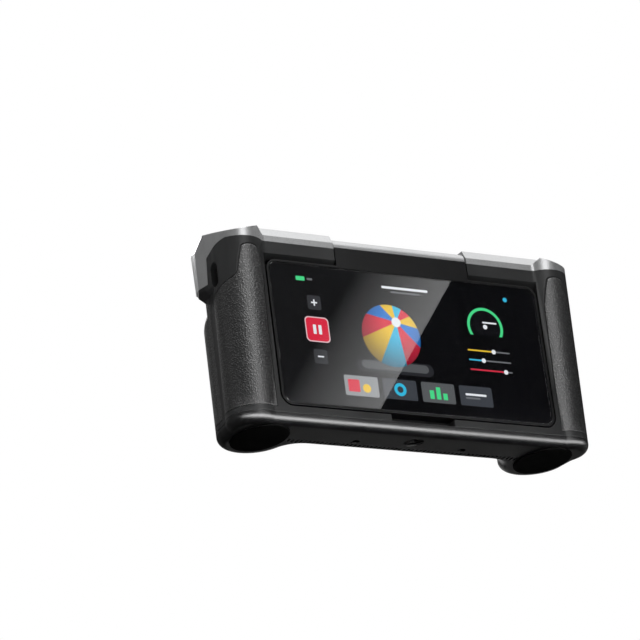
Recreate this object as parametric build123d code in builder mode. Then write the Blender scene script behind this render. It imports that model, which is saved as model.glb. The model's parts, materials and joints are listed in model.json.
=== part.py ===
"""Handheld three-d scanner with a flip-up screen, in millimetres.

X runs to the right as seen from the screen side, the screen faces -Y, the cameras look along +Y and Z is up.
The origin is under the middle of the scanner, on the surface that it stands on.
"""

import os
from math import asin, degrees, hypot

from build123d import *

os.makedirs("parts", exist_ok=True)

# Fits and cuts that all pieces share
overrun = 6.0
seam = 0.3
seat = 0.1
skin = 1.5
running_gap = 0.05

# Screen
screen_width = 164.0
screen_height = 80.0
screen_thickness = 7.5
screen_corner = 6.0
screen_gap = 1.0
recess_slack = 0.5
ledge_chamfer = 2.0
glass_border = 1.2
glass_thickness = 1.1
display_side = 12.3
display_edge = 4.55
panel_thickness = 1.5
back_cover_border = 3.0
back_cover_thickness = 1.6

# Body round the screen: its ends, head and depth
end_width = 25.0
ridge_step = 1.3
sill = 4.6
head_rise = 18.0
crest_rise = 4.5
low_crest_rise = 1.0
slab_depth = 28.0
slab_reach = 4.0
grip_radius = 14.0
grip_cove = 4.0
end_fill_inset = 1.6
end_fill_step = 11.5

# Rear lobes that fill the hand
lobe_bulge = 19.5
lobe_radius = 19.5
lobe_inset = 22.5
lobe_reach = 14.5
lobe_cove = 12.0
lobe_drop = 2.0
lobe_fall = 12.0
lobe_shoulder = 9.5

# Bottom cover
foot_drop = 0.6
cover_top = 6.4
cover_round = 4.6
plenum_floor = 2.4
plenum_margin = 0.3
valley_round = 6.0

# Head with the tilted scan face, from its top, its ends and the slab's back
ridge_drop = 7.0
ridge_inset = 2.0
face_inset = 7.3
face_drop = 25.0
face_lean = 4.0
neck_reach = 11.0
neck_fall = 6.0
neck_cove = 9.0
end_front_inset = 1.4
end_front_step = 9.7
head_depth = 18.5
undercut_width = 7.3
undercut_height = 8.0
undercut_fall = 1.5
top_chamfer_height = 5.0
top_chamfer_depth = 2.8
crest_drop = 3.5
corner_inset = 5.0
chamfer_end_step = 6.0

# Silver top cover, as its edge runs across the ends
band_drop = 8.3
band_back_step = 1.2
cheek_front_step = 11.0
cheek_top_fall = 5.2
cheek_low_step = 9.5
cheek_low_fall = 2.5
neck_skin = 1.5

# Shells and what they hold
parting_step = 7.5
front_wall = 2.0
rear_wall = 3.5
cavity_inset = 24.5

# Front rubber, as its edge runs across the ends
grip_rail = 2.6
grip_tip_drop = 12.0
grip_tip_step = 0.8
grip_waist_step = 3.2
grip_waist_fall = 18.0
grip_parting = 3.0
grip_rear_fall = 9.0
grip_low_rise = 3.1
grip_tip_round = 3.0
grip_waist_round = 5.0

# Rear rubber and the panel between, as their edge runs across the back
rear_top_inset = 26.0
rear_bend_inset = 27.0
rear_bend_fall = 10.0
rear_waist_inset = 36.0
rear_waist_fall = 31.0
rear_low_inset = 37.5
rear_grip_round = 18.0
panel_top_fall = 6.0

# Hinge across the top of the screen
hinge_drop = 6.5
hinge_setback = 5.5
barrel_radius = 5.0
neck_half = 40.0
neck_gap = 0.6
neck_plate_step = 1.0
swing_gap = 0.4
pin_radius = 2.0
pin_reach = 12.0
bracket_length = 11.0
bracket_front = 2.8
bracket_rear = 4.0
bracket_half = 4.0

# Finger notch under the screen
notch_half = 19.0

# Scan frame, window and what sits behind
frame_thickness = 3.0
frame_rim = 1.7
window_thickness = 2.2
window_lip = 0.9
window_corner = 2.5
tunnel_depth = 9.8
bench_front = 7.0
bench_thickness = 2.4
bench_slack = 0.3
lens_slack = 0.3
far_inset = 15.5
colour_inset = 20.5
near_inset = 42.5
far_radius = 5.2
near_radius = 3.4
colour_radius = 4.6
flange_step = 1.2
flange_height = 1.8
dish_rim = 0.8
dish_depth = 1.6
dome_rise = 1.0
dome_edge = 1.0
light_inset = 1.9
light_radius = 0.9
projector_width = 26.0
projector_border = 2.0
projector_corner = 7.0
projector_wall = 1.4
projector_step = 1.6
projector_step_depth = 3.0
projector_proud = 0.3
projector_lens_width = 9.0
projector_lens_height = 8.0
projector_lens_length = 2.6
projector_lens_corner = 1.2

# Charging port and power button, one on each end
port_step = 17.2
port_drop = 25.4
port_recess_height = 13.5
port_recess_width = 6.6
port_recess_depth = 3.5
port_height = 9.2
port_width = 3.4
port_length = 7.5
port_wall = 0.35
port_tongue = 0.7
port_mouth = 5.5
button_height = 11.0
button_width = 5.0
button_depth = 3.5
button_below = 0.1
button_travel = 0.5
button_slack = 0.15
switch_height = 5.0
switch_width = 3.4
switch_length = 1.2

# Tripod insert, screws and vents in the bottom
tripod_step = 10.7
tripod_bore_radius = 2.6
tripod_bore_depth = 4.2
tripod_body_radius = 4.2
tripod_flange_radius = 5.2
tripod_flange = 1.0
tripod_recess = 0.8
tripod_cap = 0.4
screw_x = 32.0
screw_wall = 0.5
screw_head_radius = 2.2
screw_head_height = 1.6
screw_recess = 1.6
screw_radius = 1.25
screw_length = 11.0
screw_drive_radius = 1.0
screw_drive_depth = 0.8
screw_drive_sides = 6
boss_radius = 3.0
boss_height = 9.0
vent_step = 5.3
vent_pitch = 2.45
vent_width = 1.2
vent_length = 4.6
vent_clearance = 2.0

# Foot pads
pad_outset = 0.8
pad_step = 6.2
pad_width = 29.0
pad_length = 37.0
pad_sink = 1.0
pad_round = 0.4

# Board, heat sink and cells
board_side = 2.0
board_gap = 2.6
board_thickness = 1.6
board_post_height = 2.0
board_post_radius = 2.5
board_post_inset = 6.0
sink_width = 62.0
sink_height = 38.0
sink_base = 2.0
sink_gap = 1.4
sink_fin = 1.2
sink_fin_count = 11
cell_radius = 9.1
cell_headroom = 19.6
cell_step = 2.5
cell_slack = 0.2
cell_button_radius = 3.0
cell_button_height = 0.8

# Places across the scanner, from its middle
grip_half = screen_width / 2 + end_width
ridge_half = grip_half + ridge_step
overall_width = 2 * ridge_half
grip_x = grip_half - grip_radius
slab_half = grip_x + slab_reach
lobe_x = grip_half - lobe_inset
face_half = ridge_half - face_inset
end_front_x = ridge_half - end_front_inset
front_grip_x = screen_width / 2 + screen_gap + grip_rail
corner_x = grip_x - corner_inset
chamfer_end_x = corner_x - chamfer_end_step
cavity_half = lobe_x - cavity_inset
rear_grip_top_x = lobe_x - rear_top_inset
rear_grip_bend_x = lobe_x - rear_bend_inset
rear_grip_waist_x = lobe_x - rear_waist_inset
rear_grip_low_x = lobe_x - rear_low_inset
far_x = face_half - far_inset
colour_x = colour_inset - far_x
near_x = far_x - near_inset
port_face_x = grip_half - port_recess_depth
button_floor_x = grip_half - button_depth
pad_x = lobe_x + pad_outset
vent_half_run = pad_x - pad_width / 2 - vent_clearance
slot_half = neck_half + neck_gap
panel_width = screen_width - 2 * (glass_border + display_side)
board_width = 2 * (cavity_half - board_side)

# Places along the scan direction, from the middle of the depth
overall_depth = crest_rise + slab_depth + lobe_bulge
crest_y = -overall_depth / 2
screen_y = crest_y + crest_rise
low_crest_y = screen_y - low_crest_rise
slab_rear = screen_y + slab_depth
rear_y = slab_rear + lobe_bulge
lobe_y = rear_y - lobe_radius
lobe_front = lobe_y - lobe_reach
end_fill_y = slab_rear - end_fill_step
screen_back_y = screen_y + screen_thickness
recess_back_y = screen_back_y + recess_slack
hinge_y = screen_y + hinge_setback
slot_rear_y = hinge_y + hinge_setback + swing_gap
bracket_front_y = hinge_y - bracket_front
bracket_rear_y = hinge_y + bracket_rear
notch_rear_y = screen_back_y
parting_y = slab_rear - parting_step
cavity_front_y = recess_back_y + front_wall
cavity_rear_y = slab_rear - rear_wall
ridge_y = slab_rear - ridge_inset
face_bottom_y = slab_rear + neck_reach
face_top_y = face_bottom_y + face_lean
end_front_y = slab_rear - end_front_step
head_front_y = slab_rear - head_depth
band_back_y = screen_y + band_back_step
cheek_front_y = slab_rear - cheek_front_step
cheek_low_y = slab_rear - cheek_low_step
front_grip_tip_y = crest_y + grip_tip_step
front_grip_waist_y = crest_y + grip_waist_step
front_grip_rear_y = parting_y - grip_parting
rear_grip_front_y = parting_y + grip_parting
port_y = slab_rear - port_step
vent_y = slab_rear - vent_step
tripod_y = vent_y - tripod_step
screw_y = parting_y - boss_radius - screw_wall
pad_y = lobe_y - pad_step
cell_y = lobe_y + cell_step
board_front_y = cavity_front_y + board_post_height
board_rear_y = board_front_y + board_thickness
sink_reach = cavity_rear_y - board_rear_y - sink_gap

# Heights, from the surface that the scanner stands on
screen_bottom_z = cover_top + sill
screen_top_z = screen_bottom_z + screen_height
screen_middle_z = screen_bottom_z + screen_height / 2
overall_height = screen_top_z + head_rise
hinge_z = overall_height - hinge_drop
neck_plate_z = hinge_z - neck_plate_step
bracket_low_z = hinge_z - bracket_half
bracket_high_z = hinge_z + bracket_half
ridge_z = overall_height - ridge_drop
face_bottom_z = overall_height - face_drop
neck_z = face_bottom_z - neck_fall
crest_top_z = overall_height - crest_drop
chamfer_low_z = overall_height - top_chamfer_height
band_z = overall_height - band_drop
cheek_top_z = band_z - cheek_top_fall
cheek_low_z = face_bottom_z - cheek_low_fall
lobe_top = neck_z - lobe_drop
undercut_z = cheek_low_z - undercut_fall
cavity_top_z = lobe_top
front_grip_tip_z = overall_height - grip_tip_drop
front_grip_waist_z = front_grip_tip_z - grip_waist_fall
front_grip_rear_z = front_grip_waist_z - grip_rear_fall
front_grip_low_z = cover_top + grip_low_rise
rear_grip_bend_z = lobe_top - rear_bend_fall
rear_grip_waist_z = lobe_top - rear_waist_fall
rear_grip_low_z = front_grip_low_z
panel_top_z = lobe_top - panel_top_fall
port_z = overall_height - port_drop
board_low_z = cover_top + boss_height + board_gap
board_high_z = cavity_top_z - board_side
cell_length = lobe_top - cover_top - cell_headroom
panel_height = screen_height - 2 * (glass_border + display_edge)

# Scan face and what lies in it
face_run = face_top_y - face_bottom_y
face_rise = overall_height - face_bottom_z
face_height = hypot(face_run, face_rise)
face_middle_y = (face_top_y + face_bottom_y) / 2
face_middle_z = (overall_height + face_bottom_z) / 2
window_width = 2 * (face_half - frame_rim)
window_height = face_height - 2 * frame_rim
tunnel_width = window_width - 2 * window_lip
tunnel_height = window_height - 2 * window_lip
light_offset = tunnel_height / 2 - light_inset
projector_height = window_height - 2 * projector_border
optics_length = bench_front - window_thickness - lens_slack

# The scan face leans out at the top, and its plane looks out along the scan direction
scan_plane = Plane(
    origin=(0, face_middle_y, face_middle_z),
    x_dir=(1, 0, 0),
    z_dir=(0, face_rise, -face_run),
)


def save(piece, name):
    """Label a finished piece and write its file."""
    piece.part.label = name
    export_step(piece.part, f"parts/{name}.step")


def end_fill(inset):
    """Plan of the web that carries the right front grip over into the rear lobe."""
    with BuildSketch() as plan:
        with BuildLine():
            Polyline(
                (lobe_x, end_fill_y),
                (grip_half - end_fill_inset - inset, end_fill_y),
                (lobe_x + lobe_radius - inset, lobe_y),
                (lobe_x, lobe_y),
                close=True,
            )
        make_face()
    return plan.sketch


def grip_plan():
    """Plan of the slab with its two front grips, where they meet the bottom cover."""
    with BuildSketch() as plan:
        with Locations((0, (screen_y + slab_rear) / 2)):
            Rectangle(2 * slab_half, slab_rear - screen_y)
        with Locations((-grip_x, low_crest_y + grip_radius), (grip_x, low_crest_y + grip_radius)):
            Circle(grip_radius)
        fillet(plan.vertices().group_by(Axis.Y)[0], grip_cove)
    return plan.sketch


def column_mass(inset):
    """The slab and its two front grips, which lean out towards the top, drawn in by an inset."""
    lean = Plane(
        origin=(grip_x, low_crest_y + grip_radius, cover_top),
        z_dir=(0, crest_y - low_crest_y, crest_top_z - cover_top),
    )
    with BuildPart() as column:
        with BuildSketch(Plane.XY.offset(cover_top)):
            with Locations((0, (screen_y + slab_rear) / 2)):
                Rectangle(2 * slab_half, slab_rear - screen_y - 2 * inset)
        extrude(amount=overall_height - cover_top)
        with BuildSketch(lean.offset(-overrun)):
            Circle(grip_radius - inset)
        extrude(amount=overall_height + overrun)
        split(bisect_by=Plane.XY.offset(cover_top), keep=Keep.TOP)
        split(bisect_by=Plane.XY.offset(overall_height), keep=Keep.BOTTOM)
        with BuildSketch(Plane.XY.offset(cover_top)):
            add(end_fill(inset))
        extrude(amount=lobe_top - inset - cover_top)
        mirror(about=Plane.YZ)
    return column.part


def lobe_plan(inset):
    """Plan of the right rear lobe, with the cove that leads into the slab's back."""
    with BuildSketch() as plan:
        with Locations((lobe_x, lobe_y)):
            Circle(lobe_radius - inset)
        with Locations((0, lobe_front)):
            Rectangle(lobe_x, slab_rear - inset - lobe_front, align=(Align.MIN, Align.MIN))
            Rectangle(overall_width, overall_depth, align=(Align.MIN, Align.MAX), mode=Mode.SUBTRACT)
        fillet(plan.vertices().group_by(Axis.Y)[-1].sort_by(Axis.X)[-1], lobe_cove + inset)
    return plan.sketch


def lobe_mass(inset):
    """Both rear lobes with their sloped and rounded shoulders, drawn in by an inset."""
    slope = Plane(
        origin=(0, slab_rear, lobe_top - inset),
        z_dir=(0, lobe_fall, rear_y - slab_rear),
    )
    with BuildPart() as lobes:
        with BuildSketch(Plane.XY.offset(cover_top)):
            add(lobe_plan(inset))
        extrude(amount=overall_height - cover_top)
        split(bisect_by=slope, keep=Keep.BOTTOM)
        crown = lobes.faces().sort_by(Axis.Z)[-1]
        fillet(crown.edges().filter_by(GeomType.ELLIPSE), lobe_shoulder - inset)
        mirror(about=Plane.YZ)
    return lobes.part


def facet(points, side):
    """Plane through three points on one side of the scanner, facing away from its middle."""
    first, second, third = [Vector(side * x, y, z) for x, y, z in points]
    normal = (second - first).cross(third - first).normalized()
    if normal.dot(first - Vector(0, 0, screen_middle_z)) < 0:
        normal = normal * -1
    return Plane(origin=first, z_dir=normal)


# Outer mass of the whole scanner above its bottom cover, from which the shells are cut
corner_points = (
    (corner_x, screen_y + top_chamfer_depth, overall_height),
    (end_front_x, end_front_y, overall_height),
    (grip_x, crest_y, crest_top_z),
)
ridge_points = (
    (face_half, face_top_y, overall_height),
    (ridge_half, ridge_y, ridge_z),
    (end_front_x, end_front_y, overall_height),
)
chamfer_plane = Plane(
    origin=(0, screen_y, chamfer_low_z),
    z_dir=(0, -top_chamfer_height, top_chamfer_depth),
)

# The chamfer along the front edge of the top, which runs out against the two crests
chamfer_spread = overrun * chamfer_end_step / top_chamfer_height
with BuildPart() as edge_chamfer:
    with BuildSketch(Plane.XZ.offset(overrun - crest_y)):
        with BuildLine():
            Polyline(
                (-chamfer_end_x + chamfer_spread, chamfer_low_z - overrun),
                (chamfer_end_x - chamfer_spread, chamfer_low_z - overrun),
                (corner_x + chamfer_spread, overall_height + overrun),
                (-corner_x - chamfer_spread, overall_height + overrun),
                close=True,
            )
        make_face()
    extrude(amount=-overall_depth)
    split(bisect_by=chamfer_plane, keep=Keep.TOP)

with BuildPart() as head:
    with BuildSketch(Plane.YZ.offset(-ridge_half)) as head_profile:
        with BuildLine():
            Polyline(
                (head_front_y, overall_height),
                (face_top_y, overall_height),
                (face_bottom_y, face_bottom_z),
                (slab_rear, neck_z),
                (slab_rear, neck_z - 2 * neck_cove),
                (head_front_y, neck_z - 2 * neck_cove),
                close=True,
            )
        make_face()
        neck = head_profile.vertices().filter_by(lambda v: abs(v.Y - neck_z) < seat)
        fillet(neck, neck_cove)
    extrude(amount=2 * ridge_half)
    with BuildSketch():
        with BuildLine():
            Polyline(
                (0, head_front_y),
                (end_front_x, head_front_y),
                (end_front_x, end_front_y),
                (ridge_half, ridge_y),
                (face_half, face_top_y),
                (0, face_top_y),
                close=True,
            )
        make_face()
        mirror(about=Plane.YZ)
    extrude(amount=overall_height, mode=Mode.INTERSECT)
    for side in (-1, 1):
        undercut = Plane(
            origin=(side * ridge_half, 0, undercut_z),
            z_dir=(side * undercut_height, 0, -undercut_width),
        )
        split(bisect_by=undercut, keep=Keep.BOTTOM)

with BuildPart() as hull:
    add(column_mass(0))
    roots = hull.edges().filter_by(
        lambda e: abs(e.center().Y - screen_y) < seat and abs(e.center().X) > slab_half / 2
    )
    fillet(roots, grip_cove)
    add(head.part)
    add(lobe_mass(0))
    add(edge_chamfer.part, mode=Mode.SUBTRACT)
    for side in (-1, 1):
        split(bisect_by=facet(corner_points, side), keep=Keep.BOTTOM)
        split(bisect_by=facet(ridge_points, side), keep=Keep.BOTTOM)

with BuildPart() as core:
    add(column_mass(skin))
    add(lobe_mass(skin))

# Zones that part the outer mass into its pieces
with BuildPart() as cover_zone:
    with BuildSketch(Plane.YZ.offset(-overall_width / 2 - overrun)):
        with BuildLine():
            Polyline(
                (crest_y - overrun, band_z),
                (band_back_y, band_z),
                (cheek_front_y, cheek_top_z),
                (cheek_low_y, cheek_low_z),
                (ridge_y, cheek_low_z),
                (face_bottom_y, face_bottom_z + neck_skin),
                (rear_y + overrun, face_bottom_z + neck_skin),
                (rear_y + overrun, overall_height + overrun),
                (crest_y - overrun, overall_height + overrun),
                close=True,
            )
        make_face()
    extrude(amount=overall_width + 2 * overrun)


def frame_zone(depth):
    """The front slice of the head, parallel to the scan face."""
    with BuildPart() as zone:
        with BuildSketch(scan_plane.offset(-depth)):
            Rectangle(overall_width, face_height + 2 * overrun)
        extrude(amount=depth + overrun)
    return zone.part


def front_grip_zone(gap):
    """Where the front rubber lies, grown by a gap, on both ends."""
    with BuildPart() as zone:
        with BuildSketch(Plane.YZ.offset(front_grip_x - gap)) as edge:
            with BuildLine():
                Polyline(
                    (crest_y - overrun, front_grip_low_z - gap),
                    (crest_y - overrun, front_grip_tip_z + gap),
                    (front_grip_tip_y + gap, front_grip_tip_z + gap),
                    (front_grip_waist_y + gap, front_grip_waist_z + gap),
                    (front_grip_rear_y + gap, front_grip_rear_z + gap),
                    (front_grip_rear_y + gap, front_grip_low_z - gap),
                    close=True,
                )
            make_face()
            inner = edge.vertices().filter_by(lambda v: v.Y > front_grip_low_z)
            along = inner.sort_by(Axis.X)
            fillet(along[1], grip_tip_round)
            fillet(edge.vertices().filter_by(lambda v: abs(v.Y - front_grip_waist_z - gap) < seat),
                   grip_waist_round)
            fillet(edge.vertices().filter_by(lambda v: abs(v.Y - front_grip_rear_z - gap) < seat),
                   grip_tip_round)
        extrude(amount=overall_width)
        mirror(about=Plane.YZ)
    return zone.part


def rear_edge(gap):
    """Line between the rear rubber and the panel, from the top down, moved inwards by a gap."""
    return (
        (rear_grip_top_x - gap, lobe_top),
        (rear_grip_bend_x - gap, rear_grip_bend_z),
        (rear_grip_waist_x - gap, rear_grip_waist_z),
        (rear_grip_low_x - gap, rear_grip_low_z - gap),
    )


def rear_grip_zone(gap):
    """Where the rear rubber lies, grown by a gap, on both sides of the panel."""
    with BuildPart() as zone:
        with BuildSketch(Plane.XZ.offset(gap - rear_grip_front_y)) as edge:
            with BuildLine():
                Polyline(
                    *rear_edge(gap),
                    (overall_width, rear_grip_low_z - gap),
                    (overall_width, lobe_top),
                    close=True,
                )
            make_face()
            bends = edge.vertices().filter_by(lambda v: rear_grip_low_z < v.Y < lobe_top)
            fillet(bends, rear_grip_round)
        extrude(amount=-overall_depth)
        mirror(about=Plane.YZ)
    return zone.part


def panel_zone(gap):
    """The grey panel between the rear grips, grown by a gap."""
    with BuildPart() as zone:
        with BuildSketch(Plane.XZ.offset(-slab_rear)) as edge:
            with BuildLine():
                top, bend, waist, low = rear_edge(2 * seam - gap)
                share = (panel_top_z + gap - bend[1]) / (top[1] - bend[1])
                Polyline(
                    (0, rear_grip_low_z - gap),
                    (low[0], rear_grip_low_z - gap),
                    waist,
                    bend,
                    (bend[0] + share * (top[0] - bend[0]), panel_top_z + gap),
                    (0, panel_top_z + gap),
                    close=True,
                )
            make_face()
            bends = edge.vertices().filter_by(lambda v: rear_grip_low_z < v.Y < panel_top_z)
            fillet(bends, rear_grip_round)
            mirror(about=Plane.YZ)
        extrude(amount=skin)
    return zone.part


def scan_cut(width, height, corner, depth):
    """A rounded opening that runs in from the scan face."""
    with BuildPart() as cut:
        with BuildSketch(scan_plane.offset(overrun)):
            RectangleRounded(width, height, corner)
        extrude(amount=-depth - overrun)
    return cut.part


def hinge_blocks(gap):
    """The two blocks beside the hinge slot, grown by a gap."""
    with BuildPart() as blocks:
        with BuildSketch(Plane.YZ.offset(slot_half - gap)):
            with Locations(((bracket_front_y + bracket_rear_y) / 2, (bracket_low_z + bracket_high_z) / 2)):
                Rectangle(
                    bracket_rear_y - bracket_front_y + 2 * gap,
                    bracket_high_z - bracket_low_z + 2 * gap,
                )
        extrude(amount=bracket_length + 2 * gap)
        mirror(about=Plane.YZ)
    return blocks.part


tunnel = scan_cut(tunnel_width, tunnel_height, window_corner, tunnel_depth)
bracket_pockets = hinge_blocks(seat)

with BuildPart() as hinge_slot:
    with BuildSketch(Plane.YZ.offset(-slot_half)):
        with Locations((slot_rear_y, screen_top_z)):
            Rectangle(overall_depth, overall_height, align=(Align.MAX, Align.MIN))
    extrude(amount=2 * slot_half)

with BuildPart() as grip_pockets:
    add(hull.part)
    add(front_grip_zone(seam), mode=Mode.INTERSECT)
    add(core.part, mode=Mode.SUBTRACT)

with BuildPart() as rear_pockets:
    add(hull.part)
    add(rear_grip_zone(seam), mode=Mode.INTERSECT)
    add(core.part, mode=Mode.SUBTRACT)

with BuildPart() as body_cavity:
    with BuildSketch(Plane.XY.offset(cover_top)):
        with Locations((0, cavity_front_y)):
            Rectangle(2 * cavity_half, cavity_rear_y - cavity_front_y, align=(Align.CENTER, Align.MIN))
    extrude(amount=cavity_top_z - cover_top)

# Silver top cover with its end cheeks
with BuildPart() as top_cover:
    add(hull.part)
    add(cover_zone.part, mode=Mode.INTERSECT)
    add(frame_zone(frame_thickness + seam), mode=Mode.SUBTRACT)
    add(tunnel, mode=Mode.SUBTRACT)
    add(hinge_slot.part, mode=Mode.SUBTRACT)
    add(bracket_pockets, mode=Mode.SUBTRACT)
save(top_cover, "top_cover")

# Dark front shell with the screen recess, finger notch, port recess and button pocket
recess_half = screen_width / 2 + screen_gap
recess_top_z = screen_top_z + screen_gap
with BuildPart() as front_shell:
    add(hull.part)
    split(bisect_by=Plane.XZ.offset(-parting_y), keep=Keep.TOP)
    add(cover_zone.part, mode=Mode.SUBTRACT)
    add(grip_pockets.part, mode=Mode.SUBTRACT)
    add(body_cavity.part, mode=Mode.SUBTRACT)
    with BuildSketch(Plane.XZ.offset(overrun - screen_y)):
        with Locations((0, screen_middle_z)):
            RectangleRounded(2 * recess_half, screen_height + 2 * screen_gap, screen_corner + screen_gap)
    extrude(amount=screen_y - overrun - recess_back_y, mode=Mode.SUBTRACT)
    with BuildSketch(Plane.YZ.offset(-recess_half)):
        with BuildLine():
            Polyline(
                (screen_y - overrun, recess_top_z + ledge_chamfer + overrun),
                (screen_y + ledge_chamfer + overrun, recess_top_z - overrun),
                (screen_y - overrun, recess_top_z - overrun),
                close=True,
            )
        make_face()
    extrude(amount=2 * recess_half, mode=Mode.SUBTRACT)
    add(hinge_slot.part, mode=Mode.SUBTRACT)
    add(bracket_pockets, mode=Mode.SUBTRACT)
    with BuildSketch(Plane.XY.offset(cover_top)):
        with Locations((0, notch_rear_y)):
            Rectangle(2 * notch_half, overall_depth, align=(Align.CENTER, Align.MAX))
    extrude(amount=screen_bottom_z - cover_top, mode=Mode.SUBTRACT)
    with BuildSketch(Plane.YZ.offset(-port_face_x)):
        with Locations((port_y, port_z)):
            SlotOverall(port_recess_height, port_recess_width, rotation=90)
    extrude(amount=port_face_x - overall_width, mode=Mode.SUBTRACT)
    with BuildSketch(Plane.YZ.offset(-port_face_x - seat)):
        with Locations((port_y, port_z)):
            SlotOverall(port_height + 2 * seat, port_width + 2 * seat, rotation=90)
    extrude(amount=port_length + 2 * seat, mode=Mode.SUBTRACT)
    with BuildSketch(Plane.YZ.offset(button_floor_x)):
        with Locations((port_y, port_z)):
            SlotOverall(button_height + 2 * button_slack, button_width + 2 * button_slack, rotation=90)
    extrude(amount=overall_width, mode=Mode.SUBTRACT)
    with BuildSketch(Plane.XY.offset(cover_top)):
        for side in (-1, 1):
            with Locations((side * screw_x, screw_y)):
                Circle(boss_radius)
            with Locations((side * screw_x, cavity_front_y - seat)):
                Rectangle(2 * boss_radius, screw_y - cavity_front_y, align=(Align.CENTER, Align.MIN))
    extrude(amount=boss_height)
    with BuildSketch(Plane.XY.offset(cover_top)):
        with Locations((-screw_x, screw_y), (screw_x, screw_y)):
            Circle(screw_radius + running_gap)
    extrude(amount=boss_height, mode=Mode.SUBTRACT)
    post_x = board_width / 2 - board_post_inset
    post_span = board_high_z - board_low_z - 2 * board_post_inset
    with BuildSketch(Plane.XZ.offset(seat - cavity_front_y)):
        with Locations((0, (board_low_z + board_high_z) / 2)):
            with GridLocations(2 * post_x, post_span, 2, 2):
                Circle(board_post_radius)
    extrude(amount=-board_post_height - seat)
save(front_shell, "front_shell")

# Black rear shell with the neck, the panel's bed and the two cell bays
with BuildPart() as rear_shell:
    add(hull.part)
    split(bisect_by=Plane.XZ.offset(-parting_y), keep=Keep.BOTTOM)
    add(cover_zone.part, mode=Mode.SUBTRACT)
    add(frame_zone(frame_thickness + seam), mode=Mode.SUBTRACT)
    add(tunnel, mode=Mode.SUBTRACT)
    add(rear_pockets.part, mode=Mode.SUBTRACT)
    add(panel_zone(seam), mode=Mode.SUBTRACT)
    add(body_cavity.part, mode=Mode.SUBTRACT)
    with BuildSketch(Plane.XY.offset(cover_top)):
        with Locations((-lobe_x, cell_y), (lobe_x, cell_y)):
            Circle(cell_radius + cell_slack)
    extrude(amount=cell_length + cell_button_height + cell_slack, mode=Mode.SUBTRACT)
save(rear_shell, "rear_shell")

# Grey panel between the rear grips
with BuildPart() as rear_panel:
    add(panel_zone(0))
save(rear_panel, "rear_panel")

# Rubber grips, left and right as seen from the screen side
sides = (("left", Keep.BOTTOM, -1), ("right", Keep.TOP, 1))
for side_name, side_kept, side in sides:
    with BuildPart() as front_grip:
        add(hull.part)
        add(front_grip_zone(0), mode=Mode.INTERSECT)
        add(core.part, mode=Mode.SUBTRACT)
        split(bisect_by=Plane.YZ, keep=side_kept)
    save(front_grip, f"front_grip_{side_name}")
    with BuildPart() as rear_grip:
        add(hull.part)
        add(rear_grip_zone(0), mode=Mode.INTERSECT)
        add(core.part, mode=Mode.SUBTRACT)
        split(bisect_by=Plane.YZ, keep=side_kept)
    save(rear_grip, f"rear_grip_{side_name}")

# Bottom cover with the vent row, the screw wells and the beds for pads and tripod insert
insert_low_z = foot_drop + tripod_recess
insert_height = tripod_bore_depth + tripod_cap
screw_seat_z = foot_drop + screw_recess + screw_head_height
vent_count = int(2 * vent_half_run / vent_pitch) + 1
screw_spots = ((-screw_x, screw_y), (screw_x, screw_y))
pad_spots = ((-pad_x, pad_y), (pad_x, pad_y))
with BuildPart() as bottom_cover:
    with BuildSketch(Plane.XY.offset(foot_drop)) as cover_plan:
        add(grip_plan())
        add(lobe_plan(0))
        add(end_fill(0))
        mirror(lobe_plan(0), about=Plane.YZ)
        mirror(end_fill(0), about=Plane.YZ)
        valleys = cover_plan.vertices().filter_by(
            lambda v: abs(v.X) > slab_half and lobe_front < v.Y < lobe_y
        )
        fillet(valleys, valley_round)
    extrude(amount=cover_top - foot_drop)
    fillet(bottom_cover.edges().group_by(Axis.Z)[0], cover_round)
    chamfer(bottom_cover.edges().group_by(Axis.Z)[-1], seam)
    with BuildSketch(Plane.XY.offset(cover_top)):
        with Locations((0, vent_y)):
            Rectangle(2 * vent_half_run + vent_pitch, vent_length + 2 * plenum_margin)
    extrude(amount=plenum_floor - cover_top, mode=Mode.SUBTRACT)
    with BuildSketch(Plane.XY):
        with Locations((0, vent_y)):
            with GridLocations(vent_pitch, 0, vent_count, 1):
                Rectangle(vent_width, vent_length)
    extrude(amount=cover_top, mode=Mode.SUBTRACT)
    with BuildSketch(Plane.XY):
        with Locations(*pad_spots):
            Ellipse(pad_width / 2 + seat, pad_length / 2 + seat)
    extrude(amount=foot_drop + pad_sink, mode=Mode.SUBTRACT)
    with BuildSketch(Plane.XY):
        with Locations((0, tripod_y)):
            Circle(tripod_body_radius + running_gap)
    extrude(amount=insert_low_z + insert_height, mode=Mode.SUBTRACT)
    with BuildSketch(Plane.XY):
        with Locations((0, tripod_y)):
            Circle(tripod_flange_radius + running_gap)
    extrude(amount=insert_low_z + tripod_flange, mode=Mode.SUBTRACT)
    with BuildSketch(Plane.XY):
        with Locations(*screw_spots):
            Circle(screw_head_radius + seat)
    extrude(amount=screw_seat_z, mode=Mode.SUBTRACT)
    with BuildSketch(Plane.XY):
        with Locations(*screw_spots):
            Circle(screw_radius + seat)
    extrude(amount=cover_top, mode=Mode.SUBTRACT)
save(bottom_cover, "bottom_cover")

# Soft oval foot pads
for side_name, side_kept, side in sides:
    with BuildPart() as foot_pad:
        with BuildSketch(Plane.XY):
            with Locations((side * pad_x, pad_y)):
                Ellipse(pad_width / 2, pad_length / 2)
        extrude(amount=foot_drop + pad_sink)
        chamfer(foot_pad.edges().group_by(Axis.Z)[0], pad_round)
    save(foot_pad, f"foot_pad_{side_name}")

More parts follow.
